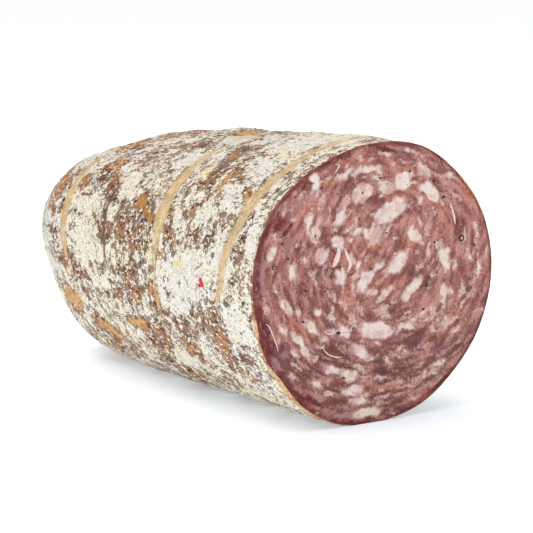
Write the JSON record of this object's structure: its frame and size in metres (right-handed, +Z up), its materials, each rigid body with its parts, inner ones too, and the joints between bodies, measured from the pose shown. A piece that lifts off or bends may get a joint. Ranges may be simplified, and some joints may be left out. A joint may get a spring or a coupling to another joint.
{
  "type": "half fennel salami",
  "caption": "Half of a large round salami lying on its side, one end domed, the other a flat cut that shows coarse meat and fat with fennel seed.",
  "frame": {"origin": "on the surface it lies on, under the middle of its bounding box", "axes": "+X along the length towards the cut face, +Z up from the surface it lies on, +Y to the left of the length seen from behind the closed end"},
  "size_m": [0.2386, 0.1276, 0.1187],
  "materials": {
    "rind": "dry natural casing with cream-white mould over golden brown skin, matte",
    "meat": "dusky rose cut meat with fine grain, satin and slightly moist",
    "fat": "white to pale pink fat, satin",
    "casing_edge": "thin tan edge of the casing at the cut, satin",
    "fennel_seed": "olive green seed, matte",
    "pepper": "cracked black pepper, matte"
  },
  "bodies": {
    "root": {"salami": "rind"}
  },
  "joints": []
}
